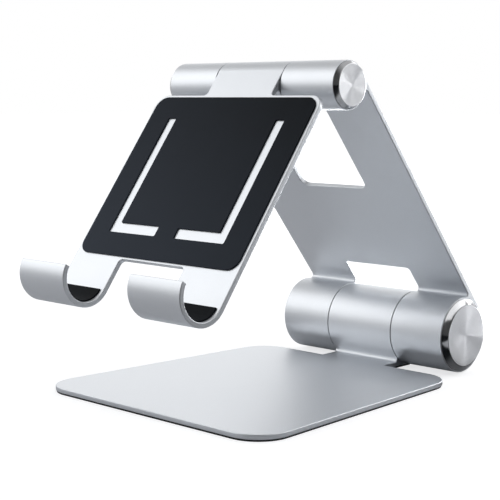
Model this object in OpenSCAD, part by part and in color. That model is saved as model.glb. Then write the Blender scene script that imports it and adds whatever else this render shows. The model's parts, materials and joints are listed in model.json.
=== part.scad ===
// Folding desk stand for a tablet: a flat base, a windowed arm and a hooked tray,
// joined by two friction hinges. X runs along the hinges, the base reaches to -Y.

/* [Hinges] */
// Length of both hinge barrels, without the end caps
barrel_len = 76.6; // [70:0.2:90]
// Outer diameter of the lower hinge barrel
lower_d = 28; // [26:0.5:32]
// Outer diameter of the upper hinge barrel
upper_d = 16.4; // [16:0.2:19]
// Width of the arm's two slots, which hold the middle barrels
slot_w = 31; // [28:0.5:34]
// Gap at each seam between a middle barrel and an outer barrel
seam = 0.3; // [0.2:0.05:0.5]
// Radial clearance of a shaft in its sleeve
running_gap = 0.04; // [0.02:0.01:0.08]

/* [Pose] */
// Slope of the arm plate above the horizontal, in degrees
arm_slope = 50.7; // [48:0.1:60]
// Slope of the tray below the horizontal, in degrees
tray_slope = 53.4; // [48:0.2:60]

/* [Base] */
// Width of the base along its front edge
base_front_w = 107; // [100:0.5:115]
// Width of the base along its rear edge
base_rear_w = 93.6; // [88:0.2:107]
// Distance from the lower hinge axis to the front edge
base_reach = 125; // [115:0.5:140]
// Distance from the lower hinge axis to the rear edge
base_rear_gap = 17.2; // [17:0.1:20]
// Thickness of the base plate
base_t = 1.7; // [1.5:0.1:2.5]
// Radius of the base corners
base_corner_r = 11.8; // [8:0.2:14]
// Thickness of the rubber under the base
foot_t = 0.6; // [0.5:0.1:1]

/* [Arm] */
// Distance between the two hinge axes
arm_len = 114; // [108:0.5:125]
// Thickness of the arm plate
arm_t = 1.8; // [1.6:0.1:2.4]
// Height of the top of the lower window above the lower hinge axis, along the plate
low_window_top = 20; // [18:0.5:26]
// Height of the bottom of the upper window above the lower hinge axis, along the plate
high_window_bottom = 60.8; // [50:0.2:75]

/* [Tray] */
// Width of the tray
tray_w = 77.4; // [70:0.2:90]
// Distance from the upper hinge axis to the tray's shoulders
shoulder_v = 10.1; // [9.6:0.1:12]
// Distance from the upper hinge axis to the notch between the hooks
notch_v = 77; // [72:0.5:80]
// Width of the notch between the hooks
notch_w = 31; // [26:0.5:36]
// Distance from the upper hinge axis to the centre of the hooks
hook_v = 88.9; // [86:0.1:92]
// Inner radius of the hooks
hook_r = 8.2; // [7:0.1:9]
// How far round the hooks curl, in degrees
hook_sweep = 174; // [150:1:180]
// Thickness of the tray plate
tray_t = 1.8; // [1.6:0.1:2.4]
// Thickness of the silicone pads
pad_t = 0.5; // [0.3:0.1:0.6]

/* [Hidden] */

$fn = 96;
// Distance by which a plate stays inside a barrel's tangent plane
EPS = 0.02;
lower_r = lower_d / 2;
upper_r = upper_d / 2;
barrel_half = barrel_len / 2;
slot_half = slot_w / 2;
middle_half = slot_half - seam;

// Turns a [y, z] point about the X axis
function turned(p, a) = [p[0] * cos(a) - p[1] * sin(a), p[0] * sin(a) + p[1] * cos(a)];

// The arm and the tray are drawn upright, in their own frames, and turned into place
arm_turn = 90 - arm_slope;
tray_turn = tray_slope - 90;
// The upper axis in the arm's own frame: both barrels touch the plane of the plate's back
upper_axis = [lower_r - upper_r, sqrt(pow(arm_len, 2) - pow(lower_r - upper_r, 2))];
upper_yz = turned(upper_axis, arm_turn);

// The origin is the centre of the footprint, on the table
hook_yz = upper_yz + turned([-upper_r - hook_r, -hook_v], tray_turn);
front_y = hook_yz[0] - hook_r - tray_t;
axis_y = -(front_y + lower_r) / 2;
axis_z = lower_r + foot_t;

// The tray's front face, in its own frame
tray_front = EPS - upper_r;
foot_inset = 0.3;
window_r = 3;
shoulder_r = 5;
fillet_r = 1.2;

// Tray pad: margins to the plate's edges, and its two L-shaped cut-outs
pad_margin = 1.2;
pad_corner_r = 4.4;
pad_bottom_v = 76.2;
ell_top_v = 20.4;
ell_bottom_v = 67.4;
ell_outer_x = 27.4;
ell_inner_x = 4.6;
ell_w = 3.8;
ell_corner_r = 0.5;

// The corners where the neck meets the shoulders; the hook pads' inset and sweep
hook_pad_inset = 1.4;
hook_pad_sweep = 150;
neck_corner_r = 1.5;

// What each hinge is made of
lower_shaft_r = 4;
upper_shaft_r = 2.4;
lower_bore_r = 10;
upper_bore_r = 5.6;
lower_hub_end = 24;
upper_hub_end = 22;
sleeve_wall = 2.4;
screw_r = 1.25;
screw_bite = 0.6;
lower_spring_t = 0.8;
upper_spring_t = 0.6;
spring_rise = 0.6;
lower_nut = [29.4, 33.9];
upper_nut = [26, 29.5];
nut_stub = 0.6;
loose = 0.1;
washer_inset = 1;
lower_screw_sunk = 2;
upper_screw_sunk = 0.6;
// As shares of the shaft's radius
flat_share = 0.8;
head_share = 1.6;
head_t_share = 0.6;
spring_share = 1.8;
nut_share = 1.7;

// End caps: radius at the barrel, radius of the face, and how far the face stands out
lower_cap = [13.4, 11.6, 1.85];
upper_cap = [7.9, 7.1, 1.6];
cap_edge = 0.25;
cap_gap = 0.12;
cap_undercut = 0.5;
cap_wall = 1.2;
spigot_len = 4;

// Points of an arc about c, from angle a0 to a1
function arc(c, r, a0, a1, steps = 12) = [
  for (i = [0:steps])
    let (a = a0 + (a1 - a0) * i / steps)
    c + r * [cos(a), sin(a)]
];

// Angle of the vector v
function heading(v) = atan2(v[1], v[0]);

// The arc that rounds the corner a-b-c of a counterclockwise outline
function corner(a, b, c, r) =
  let (
    u = (a - b) / norm(a - b),
    w = (c - b) / norm(c - b),
    half = acos(u * w) / 2,
    centre = b + (u + w) / norm(u + w) * r / sin(half),
    start = heading(b + u * r / tan(half) - centre),
    side = u[1] * w[0] > u[0] * w[1] ? 1 : -1
  )
  r <= 0 ? [b] : arc(centre, r, start, start + side * (180 - 2 * half));

// A counterclockwise outline with its corners rounded: each entry is [x, y, radius]
function rounded(p) = [
  for (i = [0:len(p) - 1])
    let (
      a = p[(i + len(p) - 1) % len(p)],
      b = p[i],
      c = p[(i + 1) % len(p)]
    )
    each corner([a[0], a[1]], [b[0], b[1]], [c[0], c[1]], b[2])
];

// The fillet between a barrel and a plate face at y = face, on the side z > 0:
// its points run from inside the barrel to the face
function fillet(barrel_r, face) =
  let (
    centre = [face - fillet_r, sqrt(pow(barrel_r + fillet_r, 2) - pow(face - fillet_r, 2))],
    foot = centre * (barrel_r / (barrel_r + fillet_r))
  )
  concat([0.9 * foot], arc(centre, fillet_r, heading(foot - centre), 0, 8));

// A list of points in reverse
function reversed(p) = [for (i = [len(p) - 1:-1:0]) p[i]];

// ---- Frames ----

module at_lower_axis() translate([0, axis_y, axis_z]) children();

module in_arm() at_lower_axis() rotate([arm_turn, 0, 0]) children();

module at_arm_top() in_arm() translate([0, upper_axis[0], upper_axis[1]]) children();

module in_tray() at_lower_axis() translate([0, upper_yz[0], upper_yz[1]])
  rotate([tray_turn, 0, 0]) children();

// ---- Shapes that repeat ----

// Extrudes a [y, z] outline along X, from x0 to x1
module along_x(x0, x1) translate([x0, 0, 0]) rotate([90, 0, 90]) linear_extrude(x1 - x0) children();

// Extrudes an [x, z] outline along Y, from y0 to y1
module along_y(y0, y1) translate([0, y1, 0]) rotate([90, 0, 0]) linear_extrude(y1 - y0) children();

module rod(r, x0, x1) along_x(x0, x1) circle(r);

module tube(r_out, r_in, x0, x1) along_x(x0, x1) difference() {
  circle(r_out);
  circle(r_in);
}

// A shaft's section with two flats, which lock it to a hub
module flatted(r) intersection() {
  circle(r);
  square([3 * r, 2 * flat_share * r], center = true);
}

// Shaft with a head outside the left hub and flats inside both hubs
module hinge_shaft(r, hub_end, nut_end) {
  rod(head_share * r, -hub_end - head_t_share * r, -hub_end);
  along_x(-hub_end, -slot_half) flatted(r);
  rod(r, -slot_half, slot_half);
  along_x(slot_half, hub_end) flatted(r);
  rod(r, hub_end, nut_end + nut_stub);
}

// Plug that locks the shaft to the right outer barrel
module hinge_hub(bore_r, shaft_r, hub_end) along_x(slot_half, hub_end) difference() {
  circle(bore_r);
  flatted(shaft_r);
}

// Four disc springs, set in pairs that face each other
module disc_springs(shaft_r, t, hub_end) {
  rise = spring_rise * t;
  r_in = shaft_r + loose;
  r_out = spring_share * shaft_r;
  for (i = [0:3]) {
    flip = i % 2;
    translate([hub_end + i * (t + rise + EPS), 0, 0]) rotate([0, 90, 0]) rotate_extrude() polygon([
      [r_in, flip * rise],
      [r_out, (1 - flip) * rise],
      [r_out, (1 - flip) * rise + t],
      [r_in, flip * rise + t]
    ]);
  }
}

module lock_nut(shaft_r, ends) along_x(ends[0], ends[1]) difference() {
  circle(nut_share * shaft_r, $fn = 6);
  circle(shaft_r);
}

// Thin washers in both seams, bearing on the outer barrels
module seam_washers(barrel_r, shaft_r) for (side = [0, 1]) mirror([side, 0, 0])
  tube(barrel_r - washer_inset, shaft_r + loose, middle_half + EPS, slot_half);

// End cap on the right: a low cone over the barrel's end, with a hollow spigot in its bore
module end_cap(size, bore_r) {
  base_r = size[0];
  face_r = size[1];
  proud = size[2];
  translate([barrel_half, 0, 0]) rotate([0, 90, 0]) rotate_extrude() polygon([
    [0, proud - cap_wall], [bore_r - cap_wall, proud - cap_wall],
    [bore_r - cap_wall, -spigot_len], [bore_r, -spigot_len], [bore_r, 0],
    [base_r - cap_undercut, 0], [base_r - cap_undercut, cap_gap], [base_r, cap_gap],
    [face_r, proud - cap_edge], [face_r - cap_edge, proud], [0, proud]
  ]);
}

// Grub screw that enters a middle barrel's sleeve from the side opposite to z
module locking_screw(shaft_r, tail) {
  tip = shaft_r + sleeve_wall - screw_bite;
  translate([0, 0, -tail]) cylinder(r = screw_r, h = tail - tip);
}

// Bushing in a middle barrel, with a dimple for its locking screw
module friction_sleeve(shaft_r) difference() {
  tube(shaft_r + sleeve_wall, shaft_r + running_gap, -middle_half, middle_half);
  locking_screw(shaft_r, 2 * shaft_r + sleeve_wall);
}

// ---- Base ----

// Outline of the base plate, drawn in by the given distance
function base_outline(d) = [
  [d - base_front_w / 2, d - base_reach, base_corner_r - d],
  [base_front_w / 2 - d, d - base_reach, base_corner_r - d],
  [base_rear_w / 2 - d, -base_rear_gap - d, base_corner_r - d],
  [d - base_rear_w / 2, -base_rear_gap - d, base_corner_r - d]
];

// How far the barrel's foot runs into the base plate, from the lower hinge axis
neck_reach = base_rear_gap + 2;

module base_plate() color([0.76, 0.77, 0.79]) at_lower_axis() difference() {
  union() {
    translate([0, 0, -lower_r]) linear_extrude(base_t) polygon(rounded(base_outline(0)));
    along_x(-middle_half, middle_half) {
      circle(lower_r);
      polygon(concat(
        [for (p = fillet(lower_r, lower_r - base_t)) [-p[1], -p[0]]],
        [[-neck_reach, base_t - lower_r], [-neck_reach, EPS - lower_r], [0, EPS - lower_r]]
      ));
    }
  }
  rod(lower_shaft_r + sleeve_wall, -barrel_half, barrel_half);
  locking_screw(lower_shaft_r, 2 * lower_r);
}

module base_pad() color([0.08, 0.08, 0.09]) at_lower_axis()
  translate([0, 0, -lower_r - foot_t]) linear_extrude(foot_t) {
    polygon(rounded(base_outline(foot_inset)));
    translate([foot_inset - middle_half, -base_rear_gap - 2 * foot_inset])
      square([2 * (middle_half - foot_inset), base_rear_gap]);
  }

module lower_sleeve() color([0.75, 0.62, 0.35]) at_lower_axis() friction_sleeve(lower_shaft_r);

module lower_sleeve_screw() color([0.3, 0.3, 0.32]) at_lower_axis()
  locking_screw(lower_shaft_r, lower_r - lower_screw_sunk);

// ---- Arm ----

// Side view of the arm: two barrels and the plate that runs along their backs
module arm_side() {
  circle(lower_r);
  translate(upper_axis) circle(upper_r);
  polygon(concat(
    [[lower_r - EPS, 0], [lower_r - EPS, upper_axis[1]]],
    [for (p = fillet(upper_r, upper_r - arm_t)) upper_axis + [p[0], -p[1]]],
    reversed(fillet(lower_r, lower_r - arm_t))
  ));
}

// The lower slot, up to a height above the lower axis, and the upper slot down to one
module arm_slots() {
  polygon(rounded([
    [-slot_half, -2 * lower_r, 0], [slot_half, -2 * lower_r, 0],
    [slot_half, low_window_top, window_r / 2], [-slot_half, low_window_top, window_r / 2]
  ]));
  polygon(rounded([
    [-slot_half, high_window_bottom, window_r], [slot_half, high_window_bottom, window_r],
    [slot_half, arm_len + lower_r, 0], [-slot_half, arm_len + lower_r, 0]
  ]));
}

module arm_plate() color([0.76, 0.77, 0.79]) in_arm() difference() {
  along_x(-barrel_half, barrel_half) arm_side();
  along_y(-2 * lower_r, 2 * lower_r) arm_slots();
  rod(lower_bore_r, -barrel_len, barrel_len);
  translate([0, upper_axis[0], upper_axis[1]]) rod(upper_bore_r, -barrel_len, barrel_len);
}

module lower_shaft() color([0.55, 0.56, 0.58]) in_arm()
  hinge_shaft(lower_shaft_r, lower_hub_end, lower_nut[1]);

module lower_hub_left() color([0.5, 0.51, 0.53]) in_arm() mirror([1, 0, 0])
  hinge_hub(lower_bore_r, lower_shaft_r, lower_hub_end);

module lower_hub_right() color([0.5, 0.51, 0.53]) in_arm()
  hinge_hub(lower_bore_r, lower_shaft_r, lower_hub_end);

module lower_disc_springs() color([0.4, 0.42, 0.45]) in_arm()
  disc_springs(lower_shaft_r, lower_spring_t, lower_hub_end);

module lower_lock_nut() color([0.6, 0.6, 0.62]) in_arm() lock_nut(lower_shaft_r, lower_nut);

module lower_seam_washers() color([0.1, 0.1, 0.11]) in_arm() seam_washers(lower_r, lower_shaft_r);

module lower_cap_left() color([0.82, 0.83, 0.85]) in_arm() mirror([1, 0, 0])
  end_cap(lower_cap, lower_bore_r);

module lower_cap_right() color([0.82, 0.83, 0.85]) in_arm() end_cap(lower_cap, lower_bore_r);

module upper_shaft() color([0.55, 0.56, 0.58]) at_arm_top()
  hinge_shaft(upper_shaft_r, upper_hub_end, upper_nut[1]);

module upper_hub_left() color([0.5, 0.51, 0.53]) at_arm_top() mirror([1, 0, 0])
  hinge_hub(upper_bore_r, upper_shaft_r, upper_hub_end);

module upper_hub_right() color([0.5, 0.51, 0.53]) at_arm_top()
  hinge_hub(upper_bore_r, upper_shaft_r, upper_hub_end);

module upper_disc_springs() color([0.4, 0.42, 0.45]) at_arm_top()
  disc_springs(upper_shaft_r, upper_spring_t, upper_hub_end);

module upper_lock_nut() color([0.6, 0.6, 0.62]) at_arm_top() lock_nut(upper_shaft_r, upper_nut);

module upper_seam_washers() color([0.1, 0.1, 0.11]) at_arm_top()
  seam_washers(upper_r, upper_shaft_r);

module upper_cap_left() color([0.82, 0.83, 0.85]) at_arm_top() mirror([1, 0, 0])
  end_cap(upper_cap, upper_bore_r);

module upper_cap_right() color([0.82, 0.83, 0.85]) at_arm_top() end_cap(upper_cap, upper_bore_r);

// ---- Tray ----

hook_centre = [-upper_r - hook_r, -hook_v];

// Side view of the tray plate and its hook
module tray_side() polygon(concat(
  [[tray_front, 0]],
  arc(hook_centre, hook_r + EPS, 0, -hook_sweep, 36),
  arc(hook_centre, hook_r + tray_t, -hook_sweep, 0, 36),
  [for (p = reversed(fillet(upper_r, upper_r - tray_t))) -p]
));

// Front view of the tray: neck, shoulders, and two legs with the notch between them
module tray_outline() {
  side_x = tray_w / 2;
  bottom = -hook_v - 2 * hook_r;
  polygon(rounded([
    [-middle_half, 0, 0], [-middle_half, -shoulder_v, neck_corner_r],
    [-side_x, -shoulder_v, shoulder_r], [-side_x, bottom, 0],
    [-notch_w / 2, bottom, 0], [-notch_w / 2, -notch_v, window_r / 2],
    [notch_w / 2, -notch_v, window_r / 2], [notch_w / 2, bottom, 0],
    [side_x, bottom, 0], [side_x, -shoulder_v, shoulder_r],
    [middle_half, -shoulder_v, neck_corner_r], [middle_half, 0, 0]
  ]));
}

module tray_plate() color([0.76, 0.77, 0.79]) in_tray() difference() {
  union() {
    intersection() {
      along_x(-tray_w, tray_w) tray_side();
      along_y(-3 * upper_r - 2 * hook_r, upper_r) tray_outline();
    }
    rod(upper_r, -middle_half, middle_half);
  }
  rod(upper_shaft_r + sleeve_wall, -barrel_half, barrel_half);
  rotate([-90, 0, 0]) mirror([0, 0, 1]) locking_screw(upper_shaft_r, 2 * upper_r);
}

// The upper sleeve and its screw are turned so that the screw comes in from the barrel's back
module from_back() in_tray() rotate([-90, 0, 0]) mirror([0, 0, 1]) children();

module upper_sleeve() color([0.75, 0.62, 0.35]) from_back() friction_sleeve(upper_shaft_r);

module upper_sleeve_screw() color([0.3, 0.3, 0.32]) from_back()
  locking_screw(upper_shaft_r, upper_r - upper_screw_sunk);

// One L-shaped cut-out, on the right
module ell() polygon(rounded([
  [ell_inner_x, -ell_bottom_v, ell_corner_r], [ell_outer_x, -ell_bottom_v, ell_corner_r],
  [ell_outer_x, -ell_top_v, ell_corner_r], [ell_outer_x - ell_w, -ell_top_v, ell_corner_r],
  [ell_outer_x - ell_w, ell_w - ell_bottom_v, ell_corner_r],
  [ell_inner_x, ell_w - ell_bottom_v, ell_corner_r]
]));

module tray_pad() color([0.1, 0.11, 0.13]) in_tray()
  along_y(tray_front - pad_t, tray_front) difference() {
    half = tray_w / 2 - pad_margin;
    polygon(rounded([
      [-half, -pad_bottom_v, pad_corner_r], [half, -pad_bottom_v, pad_corner_r],
      [half, -shoulder_v - pad_margin, pad_corner_r],
      [-half, -shoulder_v - pad_margin, pad_corner_r]
    ]));
    ell();
    mirror([1, 0]) ell();
  }

// Silicone strip that lines the right hook
module hook_pad() {
  x0 = notch_w / 2 + hook_pad_inset;
  x1 = tray_w / 2 - hook_pad_inset;
  translate([x0, hook_centre[0], hook_centre[1]]) rotate([90, 0, 90]) linear_extrude(x1 - x0)
    polygon(concat(
      arc([0, 0], hook_r, 0, -hook_pad_sweep, 30),
      arc([0, 0], hook_r - pad_t, -hook_pad_sweep, 0, 30)
    ));
}

module hook_pad_left() color([0.1, 0.11, 0.13]) in_tray() mirror([1, 0, 0]) hook_pad();

module hook_pad_right() color([0.1, 0.11, 0.13]) in_tray() hook_pad();

base_plate();
base_pad();
lower_sleeve();
lower_sleeve_screw();
arm_plate();
lower_shaft();
lower_hub_left();
lower_hub_right();
lower_disc_springs();
lower_lock_nut();
lower_seam_washers();
lower_cap_left();
lower_cap_right();
upper_shaft();
upper_hub_left();
upper_hub_right();
upper_disc_springs();
upper_lock_nut();
upper_seam_washers();
upper_cap_left();
upper_cap_right();
tray_plate();
upper_sleeve();
upper_sleeve_screw();
tray_pad();
hook_pad_left();
hook_pad_right();
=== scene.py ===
"""Finishes a packed tablet stand: edged plates, turned end caps, silicone pads and a studio."""

import json
import math

import bmesh
import bpy
from bpy.props import FloatProperty, FloatVectorProperty, IntProperty, PointerProperty
from mathutils import Matrix, Vector

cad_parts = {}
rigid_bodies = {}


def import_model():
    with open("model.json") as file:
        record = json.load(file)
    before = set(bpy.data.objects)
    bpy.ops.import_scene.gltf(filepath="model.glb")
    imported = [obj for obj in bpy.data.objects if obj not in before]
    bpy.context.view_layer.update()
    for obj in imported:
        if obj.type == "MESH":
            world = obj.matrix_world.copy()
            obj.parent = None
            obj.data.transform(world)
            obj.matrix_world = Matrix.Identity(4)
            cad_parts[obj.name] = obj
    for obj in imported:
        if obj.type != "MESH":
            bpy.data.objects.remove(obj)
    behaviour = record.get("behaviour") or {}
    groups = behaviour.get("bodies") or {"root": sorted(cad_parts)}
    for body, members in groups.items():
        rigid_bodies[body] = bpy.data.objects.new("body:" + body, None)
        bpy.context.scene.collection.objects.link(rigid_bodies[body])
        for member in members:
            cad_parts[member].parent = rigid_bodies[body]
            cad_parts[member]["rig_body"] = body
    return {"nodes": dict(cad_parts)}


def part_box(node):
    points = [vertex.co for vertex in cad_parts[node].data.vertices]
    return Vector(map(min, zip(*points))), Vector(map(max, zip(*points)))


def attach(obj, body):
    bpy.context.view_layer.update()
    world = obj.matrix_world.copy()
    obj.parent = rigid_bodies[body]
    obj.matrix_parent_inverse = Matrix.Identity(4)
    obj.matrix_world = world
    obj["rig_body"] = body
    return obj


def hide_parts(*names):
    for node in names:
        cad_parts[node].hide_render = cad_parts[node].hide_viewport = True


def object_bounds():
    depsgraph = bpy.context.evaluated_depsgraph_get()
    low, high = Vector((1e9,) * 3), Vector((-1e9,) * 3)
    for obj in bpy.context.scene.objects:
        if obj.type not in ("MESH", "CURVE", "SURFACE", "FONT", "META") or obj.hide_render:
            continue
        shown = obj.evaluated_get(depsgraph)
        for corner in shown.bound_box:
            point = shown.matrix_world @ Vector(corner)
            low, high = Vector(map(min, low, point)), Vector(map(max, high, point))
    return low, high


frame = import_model()
cad_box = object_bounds()

bl_info = {
    "name": "Folding Tablet Stand",
    "version": (1, 0, 0),
    "blender": (4, 5, 0),
    "location": "View3D > Sidebar > Tablet Stand",
    "description": "Edges, pads, caps and finishes for a folding aluminium tablet stand",
    "category": "Object",
}

LOW, HIGH = cad_box
CENTRE = (LOW + HIGH) / 2


def hinge_axis(hinge):
    """Y and Z of a hinge's axis, the radius of its barrels and that of their bores."""
    low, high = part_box(hinge + "_seam_washers")
    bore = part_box(hinge + "_hub_right")
    washer_inset = 0.001
    return (
        (low.y + high.y) / 2,
        (low.z + high.z) / 2,
        (high.z - low.z) / 2 + washer_inset,
        (bore[1].z - bore[0].z) / 2,
    )


HINGES = tuple(hinge_axis(hinge) for hinge in ("lower", "upper"))
BARREL_ENDS = tuple(
    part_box(cad_node)[1].x for cad_node in ("arm_plate", "lower_seam_washers", "lower_sleeve")
)


# ---- Settings ---------------------------------------------------------------------------------


class StandEdges(bpy.types.PropertyGroup):
    """Sizes of the small shapes on the metal and the silicone"""

    plate_edge: FloatProperty(
        name="Plate edge",
        description="Width of the bright cut edge round every plate",
        default=0.00028,
        min=0.0001,
        max=0.0006,
        precision=5,
        unit="LENGTH",
    )
    seam_edge: FloatProperty(
        name="Seam edge",
        description="Width of the broken edge at the ends of the barrels",
        default=0.00012,
        min=0.00005,
        max=0.0003,
        precision=5,
        unit="LENGTH",
    )
    cap_edge: FloatProperty(
        name="Cap edge",
        description="Width of the cut edge between the face and the wall of an end cap",
        default=0.00025,
        min=0.0001,
        max=0.0005,
        precision=5,
        unit="LENGTH",
    )
    pad_edge: FloatProperty(
        name="Pad edge",
        description="Width of the rounded edge of the silicone pads",
        default=0.00014,
        min=0.00005,
        max=0.0002,
        precision=5,
        unit="LENGTH",
    )
    rings: IntProperty(
        name="Turned rings",
        description="Number of fine rings turned into the face of an end cap",
        default=36,
        min=8,
        max=80,
    )
    ring_depth: FloatProperty(
        name="Ring depth",
        description="Depth of the rings turned into an end cap",
        default=0.000006,
        min=0.0,
        max=0.00005,
        precision=6,
        unit="LENGTH",
    )


class StandFinishes(bpy.types.PropertyGroup):
    """Colours of the metal, the silicone and the rubber"""

    metal: FloatVectorProperty(
        name="Blasted aluminium",
        description="Colour of the bead-blasted, clear anodised plates",
        default=(0.70, 0.722, 0.752),
        min=0,
        max=1,
        subtype="COLOR",
    )
    metal_roughness: FloatProperty(
        name="Blasted roughness",
        description="Roughness of the bead-blasted surface",
        default=0.46,
        min=0,
        max=1,
        subtype="FACTOR",
    )
    cut_metal: FloatVectorProperty(
        name="Cut aluminium",
        description="Colour of the bright cut edges and the turned caps",
        default=(0.84, 0.85, 0.87),
        min=0,
        max=1,
        subtype="COLOR",
    )
    silicone: FloatVectorProperty(
        name="Silicone",
        description="Colour of the tray pad and the hook pads",
        default=(0.005, 0.0072, 0.0105),
        min=0,
        max=1,
        subtype="COLOR",
    )
    # painted light: the silicone's colour is painted towards this paler colour at the low left
    # corner of the tray pad
    painted_light: FloatVectorProperty(
        name="Silicone bloom",
        description="Colour of the silicone where it has picked up a bloom",
        default=(0.042, 0.052, 0.07),
        min=0,
        max=1,
        subtype="COLOR",
    )
    rubber: FloatVectorProperty(
        name="Foot rubber",
        description="Colour of the rubber sheet under the base",
        default=(0.012, 0.012, 0.013),
        min=0,
        max=1,
        subtype="COLOR",
    )


class StudioSettings(bpy.types.PropertyGroup):
    """Camera and light"""

    azimuth: FloatProperty(
        name="Azimuth",
        description="Turn of the camera round the stand, from straight in front",
        default=math.radians(43.83),
        subtype="ANGLE",
    )
    elevation: FloatProperty(
        name="Elevation",
        description="Height of the camera above the horizon",
        default=math.radians(6.86),
        subtype="ANGLE",
    )
    distance: FloatProperty(
        name="Distance",
        description="Distance from the camera to its target",
        default=0.4467,
        unit="LENGTH",
    )
    target: FloatVectorProperty(
        name="Target",
        description="Point that the camera looks at, from the middle of the stand",
        default=(-0.00395, -0.00518, -0.00828),
        precision=5,
        subtype="TRANSLATION",
        unit="LENGTH",
    )
    lens: FloatProperty(
        name="Lens",
        description="Focal length of the camera on a 36 mm sensor",
        default=91.31,
        min=10,
        max=300,
    )
    backdrop: FloatProperty(
        name="Backdrop",
        description="Brightness of the seamless backdrop",
        default=1.0,
        min=0,
    )
    floor: FloatVectorProperty(
        name="Floor",
        description="Colour of the matt floor that lights the stand from below",
        default=(0.57, 0.578, 0.60),
        min=0,
        max=1,
        subtype="COLOR",
    )
    wash: FloatProperty(
        name="Floor wash",
        description="Brightness added to the floor near the stand, where the camera sees it",
        default=0.72,
        min=0,
    )
    shadow: FloatProperty(
        name="Floor shadow",
        description="Strength of the shadows on the floor",
        default=0.45,
        min=0,
        max=1,
        subtype="FACTOR",
    )
    room: FloatProperty(
        name="Room",
        description="Brightness of the room that the metal reflects",
        default=0.64,
        min=0,
    )


class StandSettings(bpy.types.PropertyGroup):
    """Everything that can be set for the tablet stand"""

    edges: PointerProperty(type=StandEdges)
    finishes: PointerProperty(type=StandFinishes)
    studio: PointerProperty(type=StudioSettings)


# ---- Materials --------------------------------------------------------------------------------


def node(tree, kind, **inputs):
    """Adds a shader or geometry node and sets its inputs by name."""
    made = tree.nodes.new(kind)
    for name, value in inputs.items():
        made.inputs[name.replace("_", " ")].default_value = value
    return made


def noise(tree, where, size, detail=2.0, rough=0.5):
    """A noise pattern with features of about the given size, in metres."""
    made = node(tree, "ShaderNodeTexNoise", Scale=1 / size, Detail=detail, Roughness=rough)
    tree.links.new(where.outputs["Object"], made.inputs["Vector"])
    return made.outputs["Fac"]


def ranged(tree, source, low, high, start=0.3, end=0.7):
    """Maps a pattern to values between low and high."""
    made = tree.nodes.new("ShaderNodeMapRange")
    for name, value in (("From Min", start), ("From Max", end), ("To Min", low), ("To Max", high)):
        made.inputs[name].default_value = value
    tree.links.new(source, made.inputs["Value"])
    return made.outputs["Result"]


def mixed(tree, share, first, second):
    """A mix of two colours, each a colour or a socket, by the share of the second."""
    made = tree.nodes.new("ShaderNodeMix")
    made.data_type = "RGBA"
    tree.links.new(share, made.inputs["Factor"])
    for socket, value in zip((s for s in made.inputs if s.type == "RGBA"), (first, second)):
        if isinstance(value, bpy.types.NodeSocket):
            tree.links.new(value, socket)
        else:
            socket.default_value = (*value, 1)
    return next(s for s in made.outputs if s.type == "RGBA")


def shaded(tree, source, colour, spread):
    """The colour, made darker and lighter by the pattern, up to the spread each way."""
    darker = [c * (1 - spread) for c in colour]
    lighter = [min(1, c * (1 + spread)) for c in colour]
    return mixed(tree, ranged(tree, source, 0, 1), darker, lighter)


def combined(tree, operation, first, second):
    """Two values combined by an operation."""
    made = tree.nodes.new("ShaderNodeMath")
    made.operation = operation
    tree.links.new(first, made.inputs[0])
    tree.links.new(second, made.inputs[1])
    return made.outputs[0]


def along(tree, position, direction):
    """How far a position lies along a direction."""
    made = tree.nodes.new("ShaderNodeVectorMath")
    made.operation = "DOT_PRODUCT"
    made.inputs[1].default_value = direction
    tree.links.new(position, made.inputs[0])
    return made.outputs["Value"]


def split(tree, position):
    """The X, Y and Z of a position, as the outputs of a node."""
    made = tree.nodes.new("ShaderNodeSeparateXYZ")
    tree.links.new(position, made.inputs[0])
    return made.outputs


def camera_sees(tree, seen, otherwise):
    """A shader that is one thing to the camera and another to every other ray."""
    ray = tree.nodes.new("ShaderNodeLightPath")
    both = tree.nodes.new("ShaderNodeMixShader")
    tree.links.new(ray.outputs["Is Camera Ray"], both.inputs[0])
    tree.links.new(otherwise.outputs[0], both.inputs[1])
    tree.links.new(seen.outputs[0], both.inputs[2])
    return both.outputs[0]


def bumped(tree, shader, layers):
    """Chains bumps, each of a pattern, a height in metres and a strength, into the shader."""
    last = None
    for pattern, height, strength in layers:
        bump = node(tree, "ShaderNodeBump", Strength=strength, Distance=height)
        tree.links.new(pattern, bump.inputs["Height"])
        if last:
            tree.links.new(last, bump.inputs["Normal"])
        last = bump.outputs["Normal"]
    tree.links.new(last, shader.inputs["Normal"])


def blank(name):
    """A material with only a principled shader, its tree and its object coordinates."""
    material = bpy.data.materials.new(name)
    material.use_nodes = True
    tree = material.node_tree
    return material, tree, tree.nodes["Principled BSDF"], tree.nodes.new("ShaderNodeTexCoord")


def metal_finish(name, colour, roughness, grain, depth, spread=0.03, clouding=0.03):
    """Metal with a fine grain of the given size and depth, and a slow drift in its gloss.
    The spread is that of its colour, and the clouding that of its roughness."""
    material, tree, shader, where = blank(name)
    shader.inputs["Metallic"].default_value = 1.0
    speckle = noise(tree, where, grain, 2.0, 0.6)
    clouds = noise(tree, where, 0.006, 3.0, 0.5)
    tree.links.new(shaded(tree, speckle, colour, spread), shader.inputs["Base Color"])
    drift = ranged(tree, clouds, roughness - clouding, roughness + clouding)
    tree.links.new(drift, shader.inputs["Roughness"])
    bumped(tree, shader, [(speckle, depth, 0.6)])
    return material


def blasted_aluminium(finishes):
    return metal_finish(
        "blasted_aluminium_finish",
        finishes.metal,
        finishes.metal_roughness,
        grain=0.00018,
        depth=0.000006,
        clouding=0.006,
    )


def cut_aluminium(finishes):
    return metal_finish(
        "cut_aluminium_finish",
        finishes.cut_metal,
        0.26,
        grain=0.0003,
        depth=0.000002,
        spread=0.02,
    )


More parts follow.
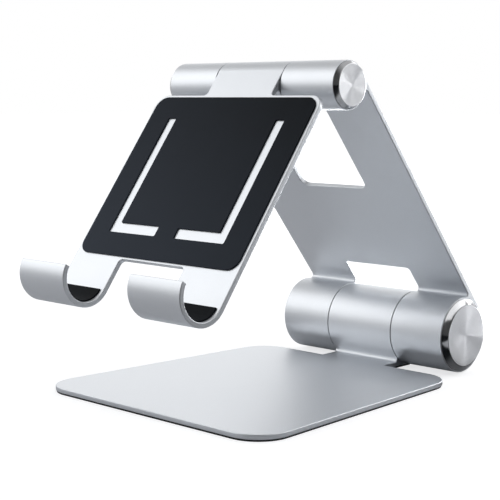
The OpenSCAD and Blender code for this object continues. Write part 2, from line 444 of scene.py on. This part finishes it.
def milled_side_painted_bright(finishes):
    """The milled sides of the plates, brighter than their blasted faces but as soft; their colour
    is also painted brighter than the cut metal's, as painted light.
    """
    return metal_finish(
        "milled_side_painted_bright_finish",
        # painted light: the cut metal's colour raised by 8 per cent on the milled sides
        [c * 1.08 for c in finishes.cut_metal],
        finishes.metal_roughness - 0.04,
        grain=0.00025,
        depth=0.000004,
        spread=0.02,
        clouding=0.006,
    )


def polished_wall_painted_dark(finishes):
    """The polished slope round an end cap, with its colour painted darker than the face as painted
    shade for the wall's dark reflections.
    """
    return metal_finish(
        "polished_wall_painted_dark_finish",
        # painted shade: the cut metal's colour darkened to stand in for the dark reflections on
        # the wall
        [c * 0.74 for c in finishes.cut_metal],
        0.15,
        grain=0.0004,
        depth=0.000001,
        spread=0.02,
    )


def turned_aluminium(finishes):
    """Lathe-turned metal: its gloss is drawn out round the face, along the piece's own map."""
    material, tree, shader, where = blank("turned_aluminium_finish")
    shader.inputs["Metallic"].default_value = 1.0
    shader.inputs["Anisotropic"].default_value = 0.95
    shader.inputs["Anisotropic Rotation"].default_value = 0.25
    mapped = tree.nodes.new("ShaderNodeUVMap")
    mapped.uv_map = "turned"
    tangent = tree.nodes.new("ShaderNodeTangent")
    tangent.direction_type = "UV_MAP"
    tangent.uv_map = "turned"
    tree.links.new(tangent.outputs["Tangent"], shader.inputs["Tangent"])
    stretch = tree.nodes.new("ShaderNodeMapping")
    stretch.inputs["Scale"].default_value = (2.0, 160.0, 1.0)
    tree.links.new(mapped.outputs["UV"], stretch.inputs["Vector"])
    lines = node(tree, "ShaderNodeTexNoise", Scale=1.0, Detail=3.0, Roughness=0.6)
    tree.links.new(stretch.outputs["Vector"], lines.inputs["Vector"])
    colour = shaded(tree, lines.outputs["Fac"], finishes.cut_metal, 0.05)
    tree.links.new(colour, shader.inputs["Base Color"])
    tree.links.new(ranged(tree, lines.outputs["Fac"], 0.27, 0.33), shader.inputs["Roughness"])
    bumped(tree, shader, [(noise(tree, where, 0.0004), 0.000002, 0.4)])
    return material


def silicone(finishes):
    """Matt silicone: a fine skin over bluish black, with painted light making it paler towards the
    low left corner.
    """
    material, tree, shader, where = blank("silicone_finish")
    skin = noise(tree, where, 0.00022, 3.0, 0.6)
    clouds = noise(tree, where, 0.009, 2.0, 0.5)
    black = shaded(tree, clouds, finishes.silicone, 0.12)
    low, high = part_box("tray_pad")
    leftward = 0.45
    span = (high.x - low.x) / 2 * leftward
    slope = along(tree, where.outputs["Object"], (-leftward, 0.0, -1.0))
    # painted light: the colour is mixed paler towards the low left corner, and not below the tray
    # pad onto the hook pads
    painted_light = ranged(tree, slope, 0.0, 1.0, -high.z - span, -low.z + span)
    height = split(tree, where.outputs["Object"])["Z"]
    above_hooks = ranged(tree, height, 0.0, 1.0, low.z - 0.004, low.z - 0.001)
    share = combined(tree, "MULTIPLY", painted_light, above_hooks)
    tree.links.new(mixed(tree, share, black, finishes.painted_light), shader.inputs["Base Color"])
    tree.links.new(ranged(tree, skin, 0.5, 0.6), shader.inputs["Roughness"])
    shader.inputs["Specular IOR Level"].default_value = 0.06
    bumped(tree, shader, [(skin, 0.00001, 0.5)])
    return material


def foot_rubber(finishes):
    """Foot rubber with a coarser skin than the silicone."""
    material, tree, shader, where = blank("foot_rubber_finish")
    skin = noise(tree, where, 0.0005, 4.0, 0.65)
    tree.links.new(shaded(tree, skin, finishes.rubber, 0.2), shader.inputs["Base Color"])
    tree.links.new(ranged(tree, skin, 0.72, 0.85), shader.inputs["Roughness"])
    bumped(tree, shader, [(skin, 0.00004, 0.6)])
    return material


def made_once(maker):
    """The maker's material, made the first time it is wanted."""
    made = bpy.data.materials.get(maker.__name__ + "_finish")
    return made or maker(bpy.context.scene.tablet_stand.finishes)


# ---- Pieces -----------------------------------------------------------------------------------

SHARP_ANGLE = math.radians(35)
FLAT_ANGLE = math.radians(0.4)
SAME_CURVE = 0.68  # cosine of the angle within which two faces share a corner's normal
FACES_SIDE = 0.9  # share of X in the normal of a plate's milled side
WELD_GAP = 1e-7
ON_END = 0.00002  # how near an edge has to be to the flat end of a barrel
ON_RIM = 0.00003  # how near it has to be to the round of that end


def adopt(piece, cad_node):
    """Makes the piece stand for a CAD node: it moves with its body and the CAD node is hidden."""
    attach(piece, frame["nodes"][cad_node]["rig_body"])
    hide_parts(cad_node)


def sharp_edges(shape, chosen):
    """The outward edges sharper than the sharp angle whose middle is chosen."""
    return [
        e
        for e in shape.edges
        if len(e.link_faces) == 2
        and e.calc_face_angle_signed() > SHARP_ANGLE
        and chosen((e.verts[0].co + e.verts[1].co) / 2)
    ]


def even_normal(corner):
    """The normal of a face's corner: the mean, by area, of the faces there that carry it on."""
    own = corner.face.normal
    total = Vector()
    for face in corner.vert.link_faces:
        if face.normal.dot(own) > SAME_CURVE:
            total += face.normal * face.calc_area()
    return total.normalized()


def edged_copy(cad_node, name, skins, cuts):
    """A copy of a CAD node with its sharp edges cut back. The skins are that of its faces and,
    on a plate, those of its cut edges and of its two sides.
    Each cut is a width, the index of a skin and a test of which edges it takes."""
    shape = bmesh.new()
    shape.from_mesh(frame["nodes"][cad_node].data)
    bmesh.ops.remove_doubles(shape, verts=shape.verts, dist=WELD_GAP)
    bmesh.ops.dissolve_limit(
        shape, angle_limit=FLAT_ANGLE, verts=shape.verts, edges=shape.edges
    )
    for face in shape.faces:
        on_side = abs(face.normal.x) > FACES_SIDE
        face.material_index = 2 if on_side and len(skins) > 2 else 0
    for width, material, chosen in cuts:
        bmesh.ops.bevel(
            shape,
            geom=sharp_edges(shape, chosen),
            offset=width,
            segments=2,
            profile=0.5,
            affect="EDGES",
            clamp_overlap=False,
            loop_slide=True,
            miter_outer="ARC",
            material=material,
        )
    for face in shape.faces:
        face.smooth = True
    normals = [even_normal(corner) for face in shape.faces for corner in face.loops]
    mesh = bpy.data.meshes.new(name)
    shape.to_mesh(mesh)
    shape.free()
    mesh.normals_split_custom_set(normals)
    mesh.materials.clear()
    for skin in skins:
        mesh.materials.append(skin)
    piece = bpy.data.objects.new(name, mesh)
    bpy.context.scene.collection.objects.link(piece)
    return piece


def on_barrel_end(spot):
    """Whether a point lies on the round end of a hinge barrel."""
    if min(abs(abs(spot.x) - end) for end in BARREL_ENDS) > ON_END:
        return False
    return any(
        abs(math.hypot(spot.y - y, spot.z - z) - barrel) < ON_RIM for y, z, barrel, _ in HINGES
    )


def in_bore(spot):
    """Whether a point lies within the bores of either hinge."""
    return any(math.hypot(spot.y - y, spot.z - z) < bore + 0.0005 for y, z, _, bore in HINGES)


def plate_cuts(edges):
    """The cuts of a plate: bright along its outline, fine and plain at the barrels' seams."""
    return (
        (edges.plate_edge, 1, lambda spot: not on_barrel_end(spot) and not in_bore(spot)),
        (edges.seam_edge, 0, on_barrel_end),
    )


def make_plate(context, cad_node):
    """A plate with its barrels: blasted faces, bright cut edges and milled sides."""
    skins = [made_once(maker) for maker in (blasted_aluminium, cut_aluminium, milled_side_painted_bright)]
    cuts = plate_cuts(context.scene.tablet_stand.edges)
    adopt(edged_copy(cad_node, cad_node + "_edged", skins, cuts), cad_node)


def make_sheet(context, cad_node, name, maker):
    """A moulded sheet whose edges are all rounded."""
    cuts = ((context.scene.tablet_stand.edges.pad_edge, 0, lambda spot: True),)
    adopt(edged_copy(cad_node, name, [made_once(maker)], cuts), cad_node)


class STAND_OT_base(bpy.types.Operator):
    """Makes the base plate with its middle barrel"""

    bl_idname = "stand.base"
    bl_label = "Base plate"

    def execute(self, context):
        make_plate(context, "base_plate")
        return {"FINISHED"}


class STAND_OT_foot(bpy.types.Operator):
    """Finishes the rubber sheet under the base"""

    bl_idname = "stand.foot"
    bl_label = "Foot rubber"

    def execute(self, context):
        make_sheet(context, "base_pad", "base_rubber_sheet", foot_rubber)
        return {"FINISHED"}


class STAND_OT_arm(bpy.types.Operator):
    """Makes the windowed arm with its four outer barrels"""

    bl_idname = "stand.arm"
    bl_label = "Arm"

    def execute(self, context):
        make_plate(context, "arm_plate")
        return {"FINISHED"}


class STAND_OT_tray(bpy.types.Operator):
    """Makes the tray with its two hooks"""

    bl_idname = "stand.tray"
    bl_label = "Tray"

    def execute(self, context):
        make_plate(context, "tray_plate")
        return {"FINISHED"}


class STAND_OT_pads(bpy.types.Operator):
    """Makes the tray pad and the two hook pads"""

    bl_idname = "stand.pads"
    bl_label = "Silicone pads"

    def execute(self, context):
        for cad_node in ("tray_pad", "hook_pad_left", "hook_pad_right"):
            make_sheet(context, cad_node, cad_node + "_moulded", silicone)
        return {"FINISHED"}


# ---- End caps ---------------------------------------------------------------------------------

TURN_POINTS = 145  # points round a turn, of which the last lies on the first
FACE_ROWS = 217
RIM_ROWS = 11
CAP_WALL = 0.0012
CAP_GAP = 0.00012
CAP_UNDERCUT = 0.0005
CAP_DIMPLE = 0.00012


class Tree:
    """A geometry node tree under construction."""

    def __init__(self, name):
        self.group = bpy.data.node_groups.new(name, "GeometryNodeTree")
        self.source = self.group.nodes.new("NodeGroupInput")
        self.sink = self.group.nodes.new("NodeGroupOutput")
        self.group.interface.new_socket(
            "Geometry", in_out="OUTPUT", socket_type="NodeSocketGeometry"
        )

    def input(self, name, kind="NodeSocketFloat"):
        self.group.interface.new_socket(name, in_out="INPUT", socket_type=kind)
        return self.source.outputs[name]

    def put(self, kind, *values, **settings):
        """Adds a node; the values fill its shown inputs in order, as sockets or constants."""
        made = self.group.nodes.new(kind)
        for name, value in settings.items():
            setattr(made, name, value)
        sockets = [s for s in made.inputs if s.enabled and not s.hide]
        for socket, value in zip(sockets, values):
            if isinstance(value, bpy.types.NodeSocket):
                self.group.links.new(value, socket)
            elif value is not None:
                socket.default_value = value
        return made

    def math(self, operation, *values):
        return self.put("ShaderNodeMath", *values, operation=operation).outputs[0]

    def vector(self, x, y, z):
        return self.put("ShaderNodeCombineXYZ", x, y, z).outputs[0]


def turned_cap_tree(face_skin, wall_skin):
    """A low cone turned on a lathe: grids wound round the hinge axis, each row at its profile."""
    tree = Tree("turned_cap")
    base_r = tree.input("Base radius")
    face_r = tree.input("Face radius")
    proud = tree.input("Height")
    bore_r = tree.input("Spigot radius")
    spigot = tree.input("Spigot length")
    wall = tree.input("Wall")
    gap = tree.input("Gap")
    undercut = tree.input("Undercut")
    edge = tree.input("Edge")
    dimple = tree.input("Dimple depth")
    rings = tree.input("Rings")
    depth = tree.input("Ring depth")
    place = tree.input("Place", "NodeSocketVector")
    side = tree.input("Side")

    def minus(a, b):
        return tree.math("SUBTRACT", a, b)

    def times(a, b):
        return tree.math("MULTIPLY", a, b)

    def wound(rows, profile, is_wall):
        """A grid of rows wound round the axis; the profile gives a row's radius and height."""
        grid = tree.put("GeometryNodeMeshGrid", 1.0, 1.0, TURN_POINTS, rows)
        where = tree.put("ShaderNodeSeparateXYZ", tree.put("GeometryNodeInputPosition").outputs[0])
        angle = times(tree.math("ADD", where.outputs[0], 0.5), math.tau)
        r, h = profile(tree.math("ADD", where.outputs[1], 0.5))
        spot = tree.vector(
            times(h, side),
            times(r, tree.math("COSINE", angle)),
            times(r, tree.math("SINE", angle)),
        )
        moved = tree.put("GeometryNodeSetPosition", grid.outputs["Mesh"], None, spot).outputs[0]
        mapped = tree.put(
            "GeometryNodeStoreNamedAttribute",
            moved,
            None,
            "turned",
            grid.outputs["UV Map"],
            data_type="FLOAT2",
            domain="CORNER",
        )
        marked = tree.put(
            "GeometryNodeStoreNamedAttribute",
            mapped.outputs[0],
            None,
            "is_wall",
            is_wall,
            data_type="BOOLEAN",
            domain="FACE",
        )
        return marked.outputs[0]

    def face(across):
        """Fine rings over a shallow dimple at the centre."""
        wave = tree.math("SINE", times(times(across, rings), math.tau))
        ripple = times(times(wave, 0.5), depth)
        sunk = times(minus(1.0, across), dimple)
        drop = tree.math("ADD", tree.math("ADD", ripple, depth), sunk)
        return times(across, minus(face_r, edge)), minus(proud, drop)

    def rim(across):
        """The cut edge, the sloping wall, the gap at the barrel, and the spigot in its bore."""
        half_edge = times(edge, 0.3)
        neck = minus(base_r, undercut)
        inner = minus(bore_r, wall)
        back = minus(proud, wall)
        tail = times(spigot, -1.0)
        rows = [
            (minus(face_r, edge), minus(proud, depth)),
            (minus(face_r, half_edge), minus(proud, half_edge)),
            (face_r, minus(proud, edge)),
            (base_r, gap),
            (neck, gap),
            (neck, 0.0),
            (bore_r, 0.0),
            (bore_r, tail),
            (inner, tail),
            (inner, back),
            (0.0, back),
        ]
        step = tree.math("ROUND", times(across, RIM_ROWS - 1.0))
        picked = []
        for column in (0, 1):
            choice = tree.group.nodes.new("GeometryNodeIndexSwitch")
            choice.data_type = "FLOAT"
            while len(choice.index_switch_items) < len(rows):
                choice.index_switch_items.new()
            tree.group.links.new(step, choice.inputs["Index"])
            for socket, row in zip(choice.inputs[1:], rows):
                if isinstance(row[column], bpy.types.NodeSocket):
                    tree.group.links.new(row[column], socket)
                else:
                    socket.default_value = row[column]
            picked.append(choice.outputs[0])
        return picked

    joined = tree.group.nodes.new("GeometryNodeJoinGeometry")
    for part in (wound(FACE_ROWS, face, False), wound(RIM_ROWS, rim, True)):
        tree.group.links.new(part, joined.inputs[0])
    welded = tree.put("GeometryNodeMergeByDistance", joined.outputs[0], None, 1e-6)
    placed = tree.put("GeometryNodeSetPosition", welded.outputs[0], None, None, place)
    smooth = tree.put("GeometryNodeSetShadeSmooth", placed.outputs[0])
    real = tree.put("GeometryNodeRealizeInstances", smooth.outputs[0])
    marks = tree.group.nodes.new("GeometryNodeInputNamedAttribute")
    marks.data_type = "BOOLEAN"
    marks.inputs["Name"].default_value = "is_wall"
    last = real.outputs[0]
    for skin in (face_skin, wall_skin):
        painted = tree.group.nodes.new("GeometryNodeSetMaterial")
        painted.inputs["Material"].default_value = skin
        tree.group.links.new(last, painted.inputs["Geometry"])
        last = painted.outputs[0]
    on_wall = next(s for s in marks.outputs if s.enabled)
    tree.group.links.new(on_wall, painted.inputs["Selection"])
    tree.group.links.new(last, tree.sink.inputs[0])
    return tree.group


def grown(tree, name, values):
    """Runs a geometry node tree with the named inputs and returns its result as a plain mesh."""
    carrier = bpy.data.objects.new(name, bpy.data.meshes.new(name + "_seed"))
    bpy.context.scene.collection.objects.link(carrier)
    modifier = carrier.modifiers.new("grow", "NODES")
    modifier.node_group = tree
    for item in tree.interface.items_tree:
        if item.item_type == "SOCKET" and item.in_out == "INPUT":
            modifier[item.identifier] = values[item.name]
    graph = bpy.context.evaluated_depsgraph_get()
    mesh = bpy.data.meshes.new_from_object(carrier.evaluated_get(graph))
    carrier.modifiers.clear()
    carrier.data = mesh
    mesh.name = name
    return carrier


class STAND_OT_end_caps(bpy.types.Operator):
    """Turns the four end caps of the two hinges"""

    bl_idname = "stand.end_caps"
    bl_label = "End caps"

    def execute(self, context):
        edges = context.scene.tablet_stand.edges
        tree = turned_cap_tree(made_once(turned_aluminium), made_once(polished_wall_painted_dark))
        barrel_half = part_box("arm_plate")[1].x
        for hinge, (y, z, _, bore_r) in zip(("lower", "upper"), HINGES):
            for side_name, side in (("left", -1.0), ("right", 1.0)):
                cad_node = f"{hinge}_cap_{side_name}"
                low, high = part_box(cad_node)
                reach = max(abs(low.x), abs(high.x))
                face_r = max(
                    math.hypot(v.co.y - y, v.co.z - z)
                    for v in frame["nodes"][cad_node].data.vertices
                    if abs(abs(v.co.x) - reach) < 1e-6
                )
                piece = grown(
                    tree,
                    cad_node + "_turned",
                    {
                        "Base radius": (high.z - low.z) / 2,
                        "Face radius": face_r + edges.cap_edge,
                        "Height": reach - barrel_half,
                        "Spigot radius": bore_r,
                        "Spigot length": high.x - low.x - (reach - barrel_half),
                        "Wall": CAP_WALL,
                        "Gap": CAP_GAP,
                        "Undercut": CAP_UNDERCUT,
                        "Edge": edges.cap_edge,
                        "Dimple depth": CAP_DIMPLE,
                        "Rings": float(edges.rings),
                        "Ring depth": edges.ring_depth,
                        "Place": (side * barrel_half, y, z),
                        "Side": side,
                    },
                )
                if not piece.data.polygons:
                    raise RuntimeError(f"{piece.name} came out empty")
                shape = bmesh.new()
                shape.from_mesh(piece.data)
                bmesh.ops.recalc_face_normals(shape, faces=shape.faces)
                shape.to_mesh(piece.data)
                shape.free()
                piece.data.set_sharp_from_angle(angle=math.radians(28))
                adopt(piece, cad_node)
        return {"FINISHED"}


# ---- Hinge parts ------------------------------------------------------------------------------


class STAND_OT_hinge_parts(bpy.types.Operator):
    """Gives the shafts, hubs, springs, nuts, washers, sleeves and screws their finishes"""

    bl_idname = "stand.hinge_parts"
    bl_label = "Hinge parts"

    def execute(self, context):
        made = {}
        for slot, name, colour, roughness, grain, depth in (
            ("steel", "machined_steel_finish", (0.5, 0.51, 0.53), 0.3, 0.0003, 0.000004),
            ("brass", "sleeve_brass_finish", (0.72, 0.55, 0.27), 0.34, 0.0004, 0.000004),
            ("spring_steel", "spring_steel_finish", (0.36, 0.37, 0.4), 0.38, 0.0003, 0.000003),
        ):
            made[slot] = metal_finish(name, colour, roughness, grain, depth)
        material, tree, shader, where = blank("washer_plastic_finish")
        skin = noise(tree, where, 0.0004)
        tree.links.new(shaded(tree, skin, (0.02, 0.02, 0.022), 0.2), shader.inputs["Base Color"])
        tree.links.new(ranged(tree, skin, 0.45, 0.55), shader.inputs["Roughness"])
        made["washer_plastic"] = material
        for piece in frame["nodes"].values():
            for slot in piece.material_slots:
                if slot.material.name in made:
                    slot.material = made[slot.material.name]
        return {"FINISHED"}


# ---- Studio -----------------------------------------------------------------------------------


def area_light(name, width, height, radiance, colour=(1, 1, 1)):
    """A rectangular light of the given radiance, hidden from the camera."""
    light = bpy.data.lights.new(name, "AREA")
    light.shape = "RECTANGLE"
    light.size, light.size_y = width, height
    light.energy = radiance * math.pi * width * height
    light.color = colour
    lamp = bpy.data.objects.new(name, light)
    bpy.context.scene.collection.objects.link(lamp)
    lamp.visible_camera = False
    return lamp


def softbox(name, direction, distance, *size_and_light):
    """An area light that faces the middle of the stand from a direction."""
    lamp = area_light(name, *size_and_light)
    towards = Vector(direction).normalized()
    lamp.location = CENTRE + towards * distance
    lamp.rotation_euler = towards.to_track_quat("Z", "Y").to_euler()


def floor_panel(name, middle, turn, *size_and_light):
    """A glowing panel let into the floor behind the stand, for the turned metal to mirror."""
    lamp = area_light(name, *size_and_light)
    lamp.location = (*middle, LOW.z + 0.0005)
    lamp.rotation_euler = (math.pi, 0, -turn)


def backdrop_world(studio):
    """White to the camera; to all else a room that is brighter overhead and dark on the right."""
    world = bpy.data.worlds.new("studio_room")
    world.use_nodes = True
    tree = world.node_tree
    tree.nodes.clear()
    direction = tree.nodes.new("ShaderNodeTexCoord").outputs["Generated"]
    ramp = tree.nodes.new("ShaderNodeValToRGB")
    ramp.color_ramp.interpolation = "EASE"
    stops = ramp.color_ramp.elements
    stops[0].position, stops[0].color = 0.45, (0.8, 0.82, 0.87, 1)
    stops[1].position, stops[1].color = 1.0, (0.9, 0.9, 0.9, 1)
    stops.new(0.6).color = (1.0, 1.0, 1.0, 1)
    lifted = ranged(tree, split(tree, direction)["Z"], 0.0, 1.0, -1.0, 1.0)
    tree.links.new(lifted, ramp.inputs["Fac"])
    room = node(tree, "ShaderNodeBackground")
    tree.links.new(ramp.outputs["Color"], room.inputs["Color"])
    rightward = along(tree, direction, (0.93, -0.37, 0.0))
    dimmed = ranged(tree, rightward, studio.room, studio.room * 0.12, 0.0, 0.45)
    tree.links.new(dimmed, room.inputs["Strength"])
    white = node(tree, "ShaderNodeBackground", Color=(1, 1, 1, 1), Strength=studio.backdrop)
    out = tree.nodes.new("ShaderNodeOutputWorld")
    tree.links.new(camera_sees(tree, white, room), out.inputs["Surface"])
    bpy.context.scene.world = world


def cloth_cover(tree, position):
    """Where a near-black patch of painted shade lies on the floor: right of a slanting edge, up to
    the stand's back.
    """
    axes = split(tree, position)
    tab_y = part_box("base_plate")[1].y - 2 * HINGES[0][2]
    front_x, back_x = HIGH.x + 0.02, BARREL_ENDS[0] - 0.006
    patch_edge = ranged(tree, axes["Y"], front_x, back_x, tab_y - 0.018, tab_y - 0.006)
    right = ranged(tree, combined(tree, "SUBTRACT", axes["X"], patch_edge), 0.0, 1.0, 0.0, 0.012)
    front = ranged(tree, axes["Y"], 1.0, 0.0, HIGH.y, HIGH.y + 0.008)
    return combined(tree, "MULTIPLY", right, front)


def floor_paint(studio):
    """Pale matt paint that lights and mirrors in the stand, with a near-black patch of painted
    shade over part of it.
    The camera sees no painted shade, only shadows on a floor that fades to the backdrop's white."""
    material = bpy.data.materials.new("studio_floor_paint")
    material.use_nodes = True
    tree = material.node_tree
    tree.nodes.clear()
    position = tree.nodes.new("ShaderNodeTexCoord").outputs["Object"]
    matt = tree.nodes.new("ShaderNodeBsdfDiffuse")
    # painted shade: near-black where the patch lies, seen only in reflections and in light bounced
    # from the floor
    floor_with_painted_shade = mixed(tree, cloth_cover(tree, position), studio.floor, (0.012, 0.013, 0.015))
    tree.links.new(floor_with_painted_shade, matt.inputs["Color"])
    shadows = node(tree, "ShaderNodeBsdfDiffuse", Color=(*[studio.shadow] * 3, 1))
    glow = node(tree, "ShaderNodeEmission", Color=(0.985, 0.99, 1, 1))
    distance = tree.nodes.new("ShaderNodeVectorMath")
    distance.operation = "LENGTH"
    tree.links.new(position, distance.inputs[0])
    faded = ranged(tree, distance.outputs["Value"], studio.wash, 1.0, 0.2, 0.7)
    tree.links.new(faded, glow.inputs["Strength"])
    washed = tree.nodes.new("ShaderNodeAddShader")
    tree.links.new(shadows.outputs[0], washed.inputs[0])
    tree.links.new(glow.outputs[0], washed.inputs[1])
    out = tree.nodes.new("ShaderNodeOutputMaterial")
    tree.links.new(camera_sees(tree, washed, matt), out.inputs["Surface"])
    return material


class STAND_OT_studio(bpy.types.Operator):
    """Sets up the floor, the room, the soft lights and the camera"""

    bl_idname = "stand.studio"
    bl_label = "Studio"

    def execute(self, context):
        studio = context.scene.tablet_stand.studio
        shape = bmesh.new()
        bmesh.ops.create_grid(shape, x_segments=2, y_segments=2, size=6.0)
        bmesh.ops.translate(shape, verts=shape.verts, vec=(0, 0, LOW.z))
        mesh = bpy.data.meshes.new("studio_floor")
        shape.to_mesh(mesh)
        shape.free()
        floor = bpy.data.objects.new("studio_floor", mesh)
        context.scene.collection.objects.link(floor)
        mesh.materials.append(floor_paint(studio))

        backdrop_world(studio)
        softbox("key_softbox", (-0.67, -0.52, 0.50), 0.75, 0.70, 0.66, 1.17)
        softbox("back_left_softbox", (-0.70, 0.70, 0.28), 1.2, 1.0, 0.75, 0.80)
        softbox("back_right_softbox", (0.66, 0.75, 0.05), 1.2, 0.5, 0.3, 0.25, (0.93, 0.96, 1.0))
        softbox("rear_strip", (0.22, 0.97, -0.01), 1.2, 0.7, 0.08, 3.0)
        softbox("rear_card", (0.09, 0.35, 0.068), 0.37, 0.20, 0.09, 5.0)
        floor_panel("floor_panel", (-0.024, 0.55), math.radians(10), 0.30, 0.80, 11.0)
        softbox("right_softbox", (0.66, 0.42, 0.64), 1.0, 1.7, 0.85, 1.1)

        camera_data = bpy.data.cameras.new("camera")
        camera_data.lens = studio.lens
        camera_data.sensor_width = 36.0
        camera_data.clip_start, camera_data.clip_end = 0.02, 30.0
        camera = bpy.data.objects.new("camera", camera_data)
        context.scene.collection.objects.link(camera)
        flat = math.cos(studio.elevation)
        back = Vector(
            (
                math.sin(studio.azimuth) * flat,
                -math.cos(studio.azimuth) * flat,
                math.sin(studio.elevation),
            )
        )
        camera.location = CENTRE + Vector(studio.target) + back * studio.distance
        camera.rotation_euler = back.to_track_quat("Z", "Y").to_euler()
        context.scene.camera = camera
        context.scene.view_settings.view_transform = "Standard"
        return {"FINISHED"}


# ---- Panel and registration -------------------------------------------------------------------


class STAND_PT_panel(bpy.types.Panel):
    """Lists the settings and the steps of the tablet stand"""

    bl_idname = "STAND_PT_panel"
    bl_label = "Tablet Stand"
    bl_space_type = "VIEW_3D"
    bl_region_type = "UI"
    bl_category = "Tablet Stand"

    def draw(self, context):
        settings = context.scene.tablet_stand
        for group in (settings.edges, settings.finishes, settings.studio):
            box = self.layout.box()
            for name in group.bl_rna.properties.keys():
                if name not in {"rna_type", "name"}:
                    box.prop(group, name)
        for step in STEPS:
            self.layout.operator(step.bl_idname)


STEPS = (
    STAND_OT_studio,
    STAND_OT_base,
    STAND_OT_foot,
    STAND_OT_arm,
    STAND_OT_tray,
    STAND_OT_pads,
    STAND_OT_end_caps,
    STAND_OT_hinge_parts,
)
CLASSES = (StandEdges, StandFinishes, StudioSettings, StandSettings, *STEPS, STAND_PT_panel)


def register():
    for cls in CLASSES:
        bpy.utils.register_class(cls)
    bpy.types.Scene.tablet_stand = PointerProperty(type=StandSettings)


def unregister():
    del bpy.types.Scene.tablet_stand
    for cls in reversed(CLASSES):
        bpy.utils.unregister_class(cls)


def main():
    register()
    bpy.ops.stand.studio()
    bpy.ops.stand.base()
    bpy.ops.stand.foot()
    bpy.ops.stand.arm()
    bpy.ops.stand.tray()
    bpy.ops.stand.pads()
    bpy.ops.stand.end_caps()
    bpy.ops.stand.hinge_parts()


if __name__ == "__main__":
    main()
